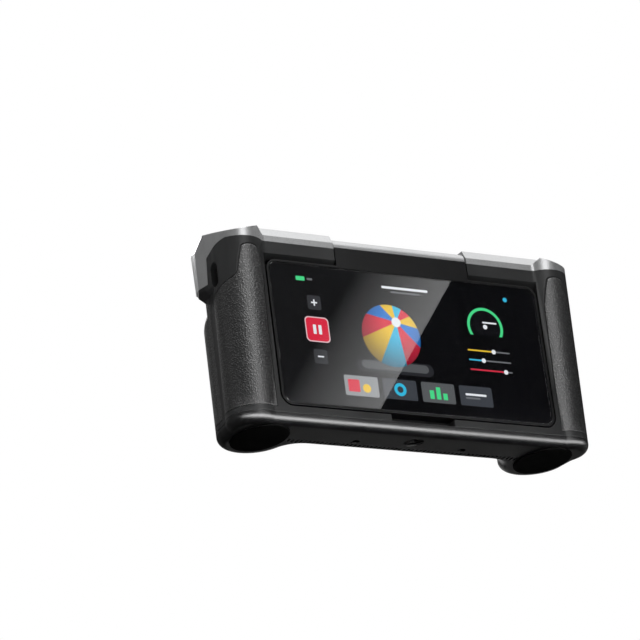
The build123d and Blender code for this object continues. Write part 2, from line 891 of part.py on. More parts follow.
# Threaded insert for a tripod screw
with BuildPart() as tripod_insert:
    with BuildSketch(Plane.XY.offset(insert_low_z)):
        with Locations((0, tripod_y)):
            Circle(tripod_flange_radius)
    extrude(amount=tripod_flange)
    with BuildSketch(Plane.XY.offset(insert_low_z)):
        with Locations((0, tripod_y)):
            Circle(tripod_body_radius)
    extrude(amount=insert_height)
    with BuildSketch(Plane.XY.offset(insert_low_z)):
        with Locations((0, tripod_y)):
            Circle(tripod_bore_radius)
    extrude(amount=tripod_bore_depth, mode=Mode.SUBTRACT)
save(tripod_insert, "tripod_insert")

# The two screws that hold the bottom cover to the front shell
with BuildPart() as case_screws:
    with BuildSketch(Plane.XY.offset(screw_seat_z)):
        with Locations(*screw_spots):
            Circle(screw_head_radius)
    extrude(amount=-screw_head_height)
    with BuildSketch(Plane.XY.offset(screw_seat_z)):
        with Locations(*screw_spots):
            Circle(screw_radius)
    extrude(amount=screw_length)
    with BuildSketch(Plane.XY.offset(foot_drop + screw_recess)):
        with Locations(*screw_spots):
            RegularPolygon(screw_drive_radius, screw_drive_sides)
    extrude(amount=screw_drive_depth, mode=Mode.SUBTRACT)
save(case_screws, "case_screws")

# Silver scan frame and the glass window that it carries
window_cut = scan_cut(window_width, window_height, window_corner, window_thickness)
with BuildPart() as scan_frame:
    add(hull.part)
    add(frame_zone(frame_thickness), mode=Mode.INTERSECT)
    add(window_cut, mode=Mode.SUBTRACT)
    add(tunnel, mode=Mode.SUBTRACT)
save(scan_frame, "scan_frame")

with BuildPart() as scan_window:
    with BuildSketch(scan_plane.offset(-window_thickness)):
        RectangleRounded(window_width - 2 * seat, window_height - 2 * seat, window_corner - seat)
        RectangleRounded(
            projector_width + 2 * seat,
            projector_height + 2 * seat,
            projector_corner + seat,
            mode=Mode.SUBTRACT,
        )
    extrude(amount=window_thickness)
save(scan_window, "scan_window")

# Optical bench behind the window, with the cameras, the lights and the projector on it
bench_plane = scan_plane.offset(-bench_front)
with BuildPart() as optical_bench:
    with BuildSketch(bench_plane):
        RectangleRounded(tunnel_width - 2 * bench_slack, tunnel_height - 2 * bench_slack, window_corner)
    extrude(amount=-bench_thickness)
save(optical_bench, "optical_bench")

cameras = (
    ("far_camera_left", -far_x, far_radius),
    ("far_camera_right", far_x, far_radius),
    ("near_camera_left", -near_x, near_radius),
    ("near_camera_right", near_x, near_radius),
    ("colour_camera", colour_x, colour_radius),
)
for camera_name, camera_x, camera_radius in cameras:
    foot = bench_plane.from_local_coords((camera_x, 0, 0))
    dome_radius = camera_radius - dish_rim - dome_edge
    dome_ball = (dome_radius**2 + dome_rise**2) / (2 * dome_rise)
    dome_turn = degrees(asin(dome_radius / dome_ball))
    dish_z = optics_length - dish_depth
    with BuildPart() as camera:
        with BuildSketch(Plane(origin=foot, x_dir=(1, 0, 0), z_dir=(0, face_run, face_rise))):
            with BuildLine():
                Polyline(
                    (0, dish_z + dome_rise),
                    (0, 0),
                    (camera_radius + flange_step, 0),
                    (camera_radius + flange_step, flange_height),
                    (camera_radius, flange_height),
                    (camera_radius, optics_length),
                    (camera_radius - dish_rim, optics_length),
                    (dome_radius, dish_z),
                )
                CenterArc((0, dish_z + dome_rise - dome_ball), dome_ball, 90 - dome_turn, dome_turn)
            make_face()
        revolve(axis=Axis(foot, scan_plane.z_dir))
    save(camera, camera_name)

with BuildPart() as fill_lights:
    with BuildSketch(bench_plane):
        for camera_name, camera_x, camera_radius in cameras:
            with Locations((camera_x, -light_offset), (camera_x, light_offset)):
                Circle(light_radius)
    extrude(amount=optics_length)
save(fill_lights, "fill_lights")

throat_width = projector_width - 2 * projector_wall
throat_height = projector_height - 2 * projector_wall
throat_corner = projector_corner - projector_wall
with BuildPart() as projector_tunnel:
    with BuildSketch(bench_plane):
        RectangleRounded(projector_width, projector_height, projector_corner)
    extrude(amount=bench_front + projector_proud)
    with BuildSketch(scan_plane.offset(projector_proud)):
        RectangleRounded(throat_width, throat_height, throat_corner)
    extrude(amount=-projector_step_depth, mode=Mode.SUBTRACT)
    with BuildSketch(bench_plane):
        RectangleRounded(
            throat_width - 2 * projector_step,
            throat_height - 2 * projector_step,
            throat_corner - projector_step,
        )
    extrude(amount=bench_front, mode=Mode.SUBTRACT)
save(projector_tunnel, "projector_tunnel")

with BuildPart() as projector_lens:
    with BuildSketch(bench_plane):
        RectangleRounded(projector_lens_width, projector_lens_height, projector_lens_corner)
    extrude(amount=projector_lens_length)
    chamfer(projector_lens.faces().sort_by(Axis.Y)[-1].edges(), projector_lens_corner / 2)
save(projector_lens, "projector_lens")

# Screen that flips up: frame with its neck, glass, display, back cover and hinge barrel
front_plane = Plane.XZ.offset(-screen_y)
glass_width = screen_width - 2 * glass_border
glass_height = screen_height - 2 * glass_border
glass_corner = screen_corner - glass_border
cover_width = screen_width - 2 * back_cover_border
cover_height = screen_height - 2 * back_cover_border
cover_corner = screen_corner - back_cover_border
glass_back_plane = front_plane.offset(-glass_thickness)
screen_centre = (0, screen_middle_z)
with BuildPart() as screen_frame:
    with BuildSketch(front_plane):
        with Locations(screen_centre):
            RectangleRounded(screen_width, screen_height, screen_corner)
    extrude(amount=-screen_thickness)
    with BuildSketch(Plane.YZ.offset(-neck_half)):
        with Locations((screen_y, screen_top_z - screen_corner)):
            Rectangle(
                screen_thickness,
                neck_plate_z - screen_top_z + screen_corner,
                align=(Align.MIN, Align.MIN),
            )
    extrude(amount=2 * neck_half)
    with BuildSketch(Plane.YZ.offset(-neck_half)):
        with Locations((hinge_y, hinge_z)):
            Circle(barrel_radius + running_gap)
    extrude(amount=2 * neck_half, mode=Mode.SUBTRACT)
    with BuildSketch(front_plane):
        with Locations(screen_centre):
            RectangleRounded(glass_width, glass_height, glass_corner)
    extrude(amount=-glass_thickness, mode=Mode.SUBTRACT)
    with BuildSketch(front_plane):
        with Locations(screen_centre):
            Rectangle(panel_width + 2 * seat, panel_height + 2 * seat)
    extrude(amount=-glass_thickness - panel_thickness, mode=Mode.SUBTRACT)
    with BuildSketch(Plane.XZ.offset(-screen_back_y)):
        with Locations(screen_centre):
            RectangleRounded(cover_width + 2 * seat, cover_height + 2 * seat, cover_corner + seat)
    extrude(amount=back_cover_thickness, mode=Mode.SUBTRACT)
save(screen_frame, "screen_frame")

with BuildPart() as screen_glass:
    with BuildSketch(front_plane):
        with Locations(screen_centre):
            RectangleRounded(glass_width - 2 * seat, glass_height - 2 * seat, glass_corner - seat)
    extrude(amount=-glass_thickness)
save(screen_glass, "screen_glass")

with BuildPart() as display_panel:
    with BuildSketch(glass_back_plane):
        with Locations(screen_centre):
            Rectangle(panel_width, panel_height)
    extrude(amount=-panel_thickness)
save(display_panel, "display_panel")

with BuildPart() as screen_back_cover:
    with BuildSketch(Plane.XZ.offset(-screen_back_y)):
        with Locations(screen_centre):
            RectangleRounded(cover_width, cover_height, cover_corner)
    extrude(amount=back_cover_thickness)
save(screen_back_cover, "screen_back_cover")

with BuildPart() as hinge_barrel:
    with BuildSketch(Plane.YZ.offset(-neck_half)):
        with Locations((hinge_y, hinge_z)):
            Circle(barrel_radius)
    extrude(amount=2 * neck_half)
    for side in (-1, 1):
        with BuildSketch(Plane.YZ.offset(side * neck_half)):
            with Locations((hinge_y, hinge_z)):
                Circle(pin_radius + running_gap)
        extrude(amount=-side * (pin_reach + swing_gap), mode=Mode.SUBTRACT)
save(hinge_barrel, "hinge_barrel")

# Hinge pins, each held by a bracket beside the slot
for side_name, side_kept, side in sides:
    with BuildPart() as hinge_pin:
        with BuildSketch(Plane.YZ.offset(side * (neck_half - pin_reach))):
            with Locations((hinge_y, hinge_z)):
                Circle(pin_radius)
        extrude(amount=side * (pin_reach + neck_gap + bracket_length))
    save(hinge_pin, f"hinge_pin_{side_name}")
    with BuildPart() as hinge_bracket:
        add(hinge_blocks(0))
        split(bisect_by=Plane.YZ, keep=side_kept)
        with BuildSketch(Plane.YZ.offset(side * neck_half)):
            with Locations((hinge_y, hinge_z)):
                Circle(pin_radius + running_gap)
        extrude(amount=side * overall_width, mode=Mode.SUBTRACT)
    save(hinge_bracket, f"hinge_bracket_{side_name}")

# Charging port in its recess on the left end
with BuildPart() as usb_port:
    with BuildSketch(Plane.YZ.offset(-port_face_x)):
        with Locations((port_y, port_z)):
            SlotOverall(port_height, port_width, rotation=90)
    extrude(amount=port_length)
    with BuildSketch(Plane.YZ.offset(-port_face_x)):
        with Locations((port_y, port_z)):
            SlotOverall(port_height - 2 * port_wall, port_width - 2 * port_wall, rotation=90)
            Rectangle(port_tongue, port_height - 2 * port_width, mode=Mode.SUBTRACT)
    extrude(amount=port_mouth, mode=Mode.SUBTRACT)
save(usb_port, "usb_port")

# Power button in its pocket on the right end, with the switch that it presses
button_inner_x = button_floor_x + switch_length + button_travel + button_slack
with BuildPart() as power_button:
    with BuildSketch(Plane.YZ.offset(button_inner_x)):
        with Locations((port_y, port_z)):
            SlotOverall(button_height, button_width, rotation=90)
    extrude(amount=grip_half - button_below - button_inner_x)
    chamfer(power_button.faces().sort_by(Axis.X)[-1].edges(), button_slack)
save(power_button, "power_button")

with BuildPart() as power_switch:
    with BuildSketch(Plane.YZ.offset(button_floor_x)):
        with Locations((port_y, port_z)):
            Rectangle(switch_width, switch_height)
    extrude(amount=switch_length)
save(power_switch, "power_switch")

# Main board on its posts, with the heat sink behind it
board_middle = (0, (board_low_z + board_high_z) / 2)
with BuildPart() as main_board:
    with BuildSketch(Plane.XZ.offset(-board_front_y)):
        with Locations(board_middle):
            Rectangle(board_width, board_high_z - board_low_z)
    extrude(amount=-board_thickness)
save(main_board, "main_board")

with BuildPart() as heat_sink:
    with BuildSketch(Plane.XZ.offset(-board_rear_y)):
        with Locations(board_middle):
            Rectangle(sink_width, sink_height)
    extrude(amount=-sink_base)
    with BuildSketch(Plane.XZ.offset(-board_rear_y)):
        with Locations(board_middle):
            with GridLocations((sink_width - sink_fin) / (sink_fin_count - 1), 0, sink_fin_count, 1):
                Rectangle(sink_fin, sink_height)
    extrude(amount=-sink_reach)
save(heat_sink, "heat_sink")

# Battery cells, one in each lobe
for side_name, side_kept, side in sides:
    with BuildPart() as battery_cell:
        with BuildSketch(Plane.XY.offset(cover_top)):
            with Locations((side * lobe_x, cell_y)):
                Circle(cell_radius)
        extrude(amount=cell_length)
        with BuildSketch(Plane.XY.offset(cover_top + cell_length)):
            with Locations((side * lobe_x, cell_y)):
                Circle(cell_button_radius)
        extrude(amount=cell_button_height)
    save(battery_cell, f"battery_cell_{side_name}")
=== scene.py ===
import json
import math

import bpy
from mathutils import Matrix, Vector


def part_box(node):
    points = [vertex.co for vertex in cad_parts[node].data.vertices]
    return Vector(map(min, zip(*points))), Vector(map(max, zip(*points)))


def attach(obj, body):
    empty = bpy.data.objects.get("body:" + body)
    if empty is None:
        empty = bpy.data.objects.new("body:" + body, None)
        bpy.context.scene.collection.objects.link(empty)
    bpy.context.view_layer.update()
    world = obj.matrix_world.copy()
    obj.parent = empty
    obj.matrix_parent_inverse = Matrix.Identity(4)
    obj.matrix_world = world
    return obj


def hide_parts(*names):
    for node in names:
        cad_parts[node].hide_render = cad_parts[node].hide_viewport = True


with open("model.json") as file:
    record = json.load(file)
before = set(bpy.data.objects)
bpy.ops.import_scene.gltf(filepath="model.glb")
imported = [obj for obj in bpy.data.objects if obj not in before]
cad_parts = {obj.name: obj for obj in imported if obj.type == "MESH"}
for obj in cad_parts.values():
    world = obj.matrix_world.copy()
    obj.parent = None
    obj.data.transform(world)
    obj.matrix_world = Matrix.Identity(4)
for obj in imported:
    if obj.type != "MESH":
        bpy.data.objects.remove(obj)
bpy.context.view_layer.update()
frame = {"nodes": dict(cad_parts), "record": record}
nodes = frame["nodes"]
bpy.ops.object.select_all(action="DESELECT")

MM = 0.001
EDGE_PER_MM = 6.0  # how steeply a mark on the display ends
FACING = 0.9  # how much of its normal a face has along an axis that it looks along


def box_in_mm(node):
    """Lowest and highest corner of a solid at rest, in millimetres."""
    return [[value / MM for value in corner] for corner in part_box(node)]


# Shader groups that several finishes share

def new_group(name, inputs, outputs):
    """Empty shader group with named sockets, each given as (name, type, default)."""
    group = bpy.data.node_groups.new(name, "ShaderNodeTree")
    for label, kind, default in inputs:
        socket = group.interface.new_socket(label, in_out="INPUT", socket_type=kind)
        if default is not None:
            socket.default_value = default
    for label, kind in outputs:
        group.interface.new_socket(label, in_out="OUTPUT", socket_type=kind)
    enter = group.nodes.new("NodeGroupInput")
    leave = group.nodes.new("NodeGroupOutput")
    return group, enter, leave


def math_node(tree, operation, first, second=None, clamp=False):
    """Math node whose inputs are numbers or sockets."""
    node = tree.nodes.new("ShaderNodeMath")
    node.operation = operation
    node.use_clamp = clamp
    for index, value in enumerate((first, second)):
        if value is None:
            continue
        if isinstance(value, (int, float)):
            node.inputs[index].default_value = value
        else:
            tree.links.new(value, node.inputs[index])
    return node.outputs[0]


def object_place(tree):
    """Object coordinates of the piece."""
    return tree.nodes.new("ShaderNodeTexCoord").outputs["Object"]


def make_moulded_grain():
    """Fine grain of moulded plastic: a height for bump, and a slow drift for colour and gloss."""
    group, enter, leave = new_group(
        "moulded_grain",
        [("Grain per metre", "NodeSocketFloat", 4000.0), ("Drift per metre", "NodeSocketFloat", 40.0)],
        [("Height", "NodeSocketFloat"), ("Drift", "NodeSocketFloat")],
    )
    place = object_place(group)
    grain = group.nodes.new("ShaderNodeTexNoise")
    grain.inputs["Detail"].default_value = 2.0
    group.links.new(place, grain.inputs["Vector"])
    group.links.new(enter.outputs["Grain per metre"], grain.inputs["Scale"])
    drift = group.nodes.new("ShaderNodeTexNoise")
    drift.inputs["Detail"].default_value = 3.0
    group.links.new(place, drift.inputs["Vector"])
    group.links.new(enter.outputs["Drift per metre"], drift.inputs["Scale"])
    group.links.new(grain.outputs["Fac"], leave.inputs["Height"])
    group.links.new(drift.outputs["Fac"], leave.inputs["Drift"])
    return group


def make_rubber_stipple():
    """Small raised dots of the grip rubber: their height, and a mask of their tops, which the rubber finish
    uses for a painted highlight and a lower roughness.
    """
    group, enter, leave = new_group(
        "rubber_stipple",
        [("Dots per metre", "NodeSocketFloat", 1300.0)],
        [("Height", "NodeSocketFloat"), ("Tops", "NodeSocketFloat")],
    )
    place = object_place(group)
    dots = group.nodes.new("ShaderNodeTexVoronoi")
    group.links.new(place, dots.inputs["Vector"])
    group.links.new(enter.outputs["Dots per metre"], dots.inputs["Scale"])
    height = group.nodes.new("ShaderNodeMapRange")
    height.inputs["From Min"].default_value = 0.15
    height.inputs["From Max"].default_value = 0.6
    height.inputs["To Min"].default_value = 1.0
    height.inputs["To Max"].default_value = 0.0
    group.links.new(dots.outputs["Distance"], height.inputs["Value"])
    patch = group.nodes.new("ShaderNodeTexNoise")
    patch.inputs["Scale"].default_value = 900.0
    group.links.new(place, patch.inputs["Vector"])
    tops = math_node(group, "MULTIPLY", height.outputs["Result"], patch.outputs["Fac"], clamp=True)
    group.links.new(height.outputs["Result"], leave.inputs["Height"])
    group.links.new(tops, leave.inputs["Tops"])
    return group


def make_lit_box():
    """Mask of a rounded box on the display, its middle and half sizes in millimetres."""
    group, enter, leave = new_group(
        "lit_box",
        [("X", "NodeSocketFloat", 0.0), ("Z", "NodeSocketFloat", 0.0),
         ("Half width", "NodeSocketFloat", 1.0), ("Half height", "NodeSocketFloat", 1.0),
         ("Corner", "NodeSocketFloat", 0.3)],
        [("Mask", "NodeSocketFloat")],
    )
    parts = group.nodes.new("ShaderNodeSeparateXYZ")
    group.links.new(object_place(group), parts.inputs[0])
    reach = []
    for axis, middle, half in (("X", "X", "Half width"), ("Z", "Z", "Half height")):
        across = math_node(group, "MULTIPLY", parts.outputs[axis], 1.0 / MM)
        away = math_node(group, "ABSOLUTE", math_node(group, "SUBTRACT", across, enter.outputs[middle]))
        flat = math_node(group, "SUBTRACT", enter.outputs[half], enter.outputs["Corner"])
        past = math_node(group, "MAXIMUM", math_node(group, "SUBTRACT", away, flat), 0.0)
        reach.append(math_node(group, "MULTIPLY", past, past))
    out = math_node(group, "SQRT", math_node(group, "ADD", reach[0], reach[1]))
    depth = math_node(group, "SUBTRACT", enter.outputs["Corner"], out)
    mask = math_node(group, "ADD", math_node(group, "MULTIPLY", depth, EDGE_PER_MM), 0.5, clamp=True)
    group.links.new(mask, leave.inputs["Mask"])
    return group


moulded_grain = make_moulded_grain()
rubber_stipple = make_rubber_stipple()
lit_box = make_lit_box()


# Finishes

def new_finish(name):
    """New material with its Principled shader."""
    material = bpy.data.materials.new(name)
    material.use_nodes = True
    return material, material.node_tree, material.node_tree.nodes["Principled BSDF"]


def put_group(tree, group, **values):
    """A shader group placed in a material with its own values."""
    node = tree.nodes.new("ShaderNodeGroup")
    node.node_tree = group
    for label, value in values.items():
        node.inputs[label.replace("_", " ")].default_value = value
    return node


def spread(tree, value, low, high, start=0.3, stop=0.7):
    """Value carried over from start..stop to low..high."""
    node = tree.nodes.new("ShaderNodeMapRange")
    node.inputs["From Min"].default_value = start
    node.inputs["From Max"].default_value = stop
    node.inputs["To Min"].default_value = low
    node.inputs["To Max"].default_value = high
    tree.links.new(value, node.inputs["Value"])
    return node.outputs["Result"]


def between(tree, share, first, second):
    """Colour that goes from the first to the second with a share."""
    node = tree.nodes.new("ShaderNodeMix")
    node.data_type = "RGBA"
    node.inputs["A"].default_value = (*first, 1.0)
    node.inputs["B"].default_value = (*second, 1.0)
    tree.links.new(share, node.inputs["Factor"])
    return node.outputs["Result"]


def soft_edges(tree, shader, height, strength, relief, radius):
    """Worn corners that catch the light, with a bump over them. Relief and radius are in millimetres."""
    rounded = tree.nodes.new("ShaderNodeBevel")
    rounded.samples = 4
    rounded.inputs["Radius"].default_value = radius * MM
    bump = tree.nodes.new("ShaderNodeBump")
    bump.inputs["Strength"].default_value = strength
    bump.inputs["Distance"].default_value = relief * MM
    tree.links.new(height, bump.inputs["Height"])
    tree.links.new(rounded.outputs["Normal"], bump.inputs["Normal"])
    tree.links.new(bump.outputs["Normal"], shader.inputs["Normal"])


def moulded_plastic(name, dark, light, rough, gloss, grain=4000.0):
    """Moulded plastic with a fine grain and a slight drift in colour and gloss."""
    material, tree, shader = new_finish(name)
    surface = put_group(tree, moulded_grain, Grain_per_metre=grain)
    drift = surface.outputs["Drift"]
    colour = between(tree, spread(tree, drift, 0.0, 1.0), dark, light)
    tree.links.new(colour, shader.inputs["Base Color"])
    tree.links.new(spread(tree, drift, rough - 0.04, rough + 0.04), shader.inputs["Roughness"])
    shader.inputs["Specular IOR Level"].default_value = gloss
    soft_edges(tree, shader, surface.outputs["Height"], strength=0.15, relief=0.1, radius=0.4)
    return material


def blasted_metal(name, dark, light, rough, metal):
    """Satin metal with a blasted surface."""
    material, tree, shader = new_finish(name)
    surface = put_group(tree, moulded_grain, Grain_per_metre=5000.0, Drift_per_metre=25.0)
    height = surface.outputs["Height"]
    colour = between(tree, spread(tree, surface.outputs["Drift"], 0.0, 1.0), dark, light)
    tree.links.new(colour, shader.inputs["Base Color"])
    tree.links.new(spread(tree, height, rough - 0.06, rough + 0.06), shader.inputs["Roughness"])
    shader.inputs["Metallic"].default_value = metal
    soft_edges(tree, shader, height, strength=0.08, relief=0.05, radius=0.3)
    return material


def stippled_rubber(name, valley, painted_highlight_top, rough, dots):
    """Satin grip rubber with small raised dots, so many to the metre, their tops painted lighter as a
    painted highlight.
    """
    material, tree, shader = new_finish(name)
    surface = put_group(tree, rubber_stipple, Dots_per_metre=dots)
    tops = surface.outputs["Tops"]
    # Painted highlight: the dot tops take the lighter colour in place of the light they catch
    tree.links.new(between(tree, tops, valley, painted_highlight_top), shader.inputs["Base Color"])
    tree.links.new(spread(tree, tops, rough + 0.1, rough - 0.1, 0.0, 0.6), shader.inputs["Roughness"])
    shader.inputs["Specular IOR Level"].default_value = 1.0
    shader.inputs["IOR"].default_value = 1.6
    soft_edges(tree, shader, surface.outputs["Height"], strength=0.5, relief=0.2, radius=0.4)
    return material


finishes = {
    "front_plastic": moulded_plastic(
        "front_plastic", (0.018, 0.0185, 0.019), (0.026, 0.0265, 0.027), rough=0.42, gloss=0.4),
    "back_plastic": moulded_plastic(
        "back_plastic", (0.010, 0.010, 0.0105), (0.014, 0.014, 0.0145), rough=0.38, gloss=0.45),
    "screen_plastic": moulded_plastic(
        "screen_plastic", (0.005, 0.005, 0.0055), (0.008, 0.008, 0.0085), rough=0.4, gloss=0.3),
    "inner_black": moulded_plastic(
        "inner_black", (0.008, 0.008, 0.008), (0.012, 0.012, 0.012), rough=0.55, gloss=0.3),
    "panel_grey": blasted_metal(
        "panel_grey", (0.24, 0.245, 0.25), (0.30, 0.305, 0.31), rough=0.42, metal=0.35),
    "silver": blasted_metal(
        "silver", (0.54, 0.545, 0.55), (0.62, 0.625, 0.63), rough=0.32, metal=0.75),
    "steel": blasted_metal(
        "steel", (0.26, 0.26, 0.26), (0.36, 0.36, 0.36), rough=0.32, metal=1.0),
    # Painted shade: near-black steel for the tripod insert, so that its hole reads as a shaded recess
    "hole_shade_steel": blasted_metal(
        "hole_shade_steel", (0.03, 0.03, 0.03), (0.05, 0.05, 0.05), rough=0.4, metal=1.0),
    "sink": blasted_metal(
        "sink", (0.5, 0.5, 0.5), (0.6, 0.6, 0.6), rough=0.35, metal=1.0),
    "lens_barrel": blasted_metal(
        "lens_barrel", (0.02, 0.02, 0.022), (0.05, 0.05, 0.055), rough=0.3, metal=0.6),
    # Painted highlight: the second colour, ten times the first, lights the tops of the dots
    "grip_rubber": stippled_rubber(
        "grip_rubber", (0.006, 0.006, 0.0065), (0.06, 0.06, 0.06), rough=0.4, dots=1050.0),
    "foot_rubber": moulded_plastic(
        "foot_rubber", (0.002, 0.002, 0.002), (0.004, 0.004, 0.004), rough=0.75, gloss=0.05, grain=1500.0),
    "board": moulded_plastic(
        "board", (0.005, 0.06, 0.03), (0.01, 0.09, 0.04), rough=0.35, gloss=0.5),
    "cell_wrap": moulded_plastic(
        "cell_wrap", (0.02, 0.08, 0.25), (0.03, 0.1, 0.3), rough=0.25, gloss=0.5),
    "light_white": moulded_plastic(
        "light_white", (0.8, 0.81, 0.83), (0.86, 0.87, 0.88), rough=0.3, gloss=0.5),
}


def clear_glass(name, tint, rough, film=0.0):
    """Polished clear glass, with a coating where a film's thickness is given in nanometres."""
    material, _, shader = new_finish(name)
    shader.inputs["Base Color"].default_value = (*tint, 1.0)
    shader.inputs["Roughness"].default_value = rough
    shader.inputs["Transmission Weight"].default_value = 1.0
    shader.inputs["IOR"].default_value = 1.45
    shader.inputs["Thin Film Thickness"].default_value = film
    shader.inputs["Thin Film IOR"].default_value = 1.9
    return material


finishes["screen_glass"] = clear_glass("screen_glass", (0.96, 0.97, 0.98), rough=0.01)
finishes["window_glass"] = clear_glass("window_glass", (0.52, 0.525, 0.53), rough=0.01)
finishes["lens_glass"] = clear_glass("lens_glass", (0.62, 0.5, 0.85), rough=0.02, film=260.0)


# The display's page

WHITE = (0.85, 0.87, 0.9)
GREY = (0.16, 0.165, 0.175)
DIM = (0.035, 0.036, 0.04)
SLATE = (0.05, 0.055, 0.065)
PAGE_BLACK = (0.0022, 0.0022, 0.0026)
DIAL_BLACK = (0.004, 0.004, 0.005)
BALL_SHADE = (0.01, 0.006, 0.012)
PINK = (0.8, 0.55, 0.58)
RED = (0.72, 0.022, 0.055)
YELLOW = (0.85, 0.55, 0.03)
GREEN = (0.07, 0.72, 0.26)
BLUE = (0.02, 0.2, 0.62)
CYAN = (0.04, 0.5, 0.75)

# Marks on the display as (x, z, half width, half height, corner, colour), the later ones on top
title_bar = [
    (0.0, 82.0, 14.0, 0.7, 0.5, WHITE), (0.0, 79.6, 9.0, 0.45, 0.4, GREY),
    (-62.5, 82.0, 2.6, 1.2, 0.5, GREEN), (-57.0, 82.0, 1.6, 0.6, 0.4, GREY),
    (62.0, 82.0, 1.3, 1.3, 1.3, CYAN),
]
left_controls = [
    (-56.0, 69.0, 4.0, 4.0, 1.2, DIM), (-56.0, 69.0, 1.8, 0.4, 0.3, WHITE),
    (-56.0, 69.0, 0.4, 1.8, 0.3, WHITE),
    (-56.0, 54.0, 7.0, 7.0, 2.4, PINK), (-56.0, 54.0, 6.4, 6.4, 2.0, RED),
    (-57.6, 54.0, 0.9, 2.6, 0.4, WHITE), (-54.4, 54.0, 0.9, 2.6, 0.4, WHITE),
    (-56.0, 39.0, 4.0, 4.0, 1.2, DIM), (-56.0, 39.0, 1.8, 0.4, 0.3, WHITE),
]
level_dial = [
    (47.0, 65.0, 11.0, 11.0, 11.0, GREEN), (47.0, 65.0, 9.4, 9.4, 9.4, DIAL_BLACK),
    (47.0, 56.0, 12.0, 4.0, 0.5, PAGE_BLACK), (50.0, 67.5, 4.4, 0.45, 0.4, WHITE),
    (47.0, 65.0, 1.3, 1.3, 1.3, WHITE),
]
sliders = [
    (47.0, 51.0, 13.0, 0.4, 0.35, GREY), (42.0, 51.0, 8.0, 0.4, 0.35, YELLOW),
    (50.0, 51.0, 1.3, 1.3, 1.3, WHITE),
    (47.0, 45.5, 13.0, 0.4, 0.35, GREY), (38.5, 45.5, 4.5, 0.4, 0.35, CYAN),
    (43.0, 45.5, 1.3, 1.3, 1.3, WHITE),
    (47.0, 40.0, 13.0, 0.4, 0.35, GREY), (45.0, 40.0, 11.0, 0.4, 0.35, RED),
    (56.0, 40.0, 1.3, 1.3, 1.3, WHITE),
]
page_strip = [
    (-34.0, 24.6, 10.0, 5.6, 0.9, (0.30, 0.31, 0.32)), (-11.0, 24.6, 10.0, 5.6, 0.9, SLATE),
    (12.0, 24.6, 10.0, 5.6, 0.9, (0.10, 0.105, 0.11)), (35.0, 24.6, 10.0, 5.6, 0.9, SLATE),
    (-38.5, 24.6, 3.4, 3.4, 0.6, RED), (-31.0, 23.6, 2.4, 2.4, 2.4, YELLOW),
    (-11.0, 24.6, 3.6, 3.6, 3.6, CYAN), (-11.0, 24.6, 1.8, 1.8, 1.8, SLATE),
    (8.0, 23.4, 1.3, 2.4, 0.3, GREEN), (12.0, 24.4, 1.3, 3.4, 0.3, GREEN),
    (16.0, 22.8, 1.3, 1.8, 0.3, GREEN),
    (35.0, 25.4, 6.4, 0.6, 0.4, WHITE), (33.0, 23.4, 4.4, 0.5, 0.4, GREY),
]
turntable = [
    (-12.0, 36.6, 23.0, 3.6, 3.6, (0.02, 0.021, 0.024)), (-12.0, 37.2, 20.0, 2.3, 2.3, (0.09, 0.095, 0.1)),
]
ball_middle = (-12.0, 54.5)
ball_radius = 17.5
pole = (-8.0, 62.5)
pole_turn = 0.53
cap_radius = 2.75
cap_edge = 0.15
shade_start = 8.0
shade_stop = 27.0


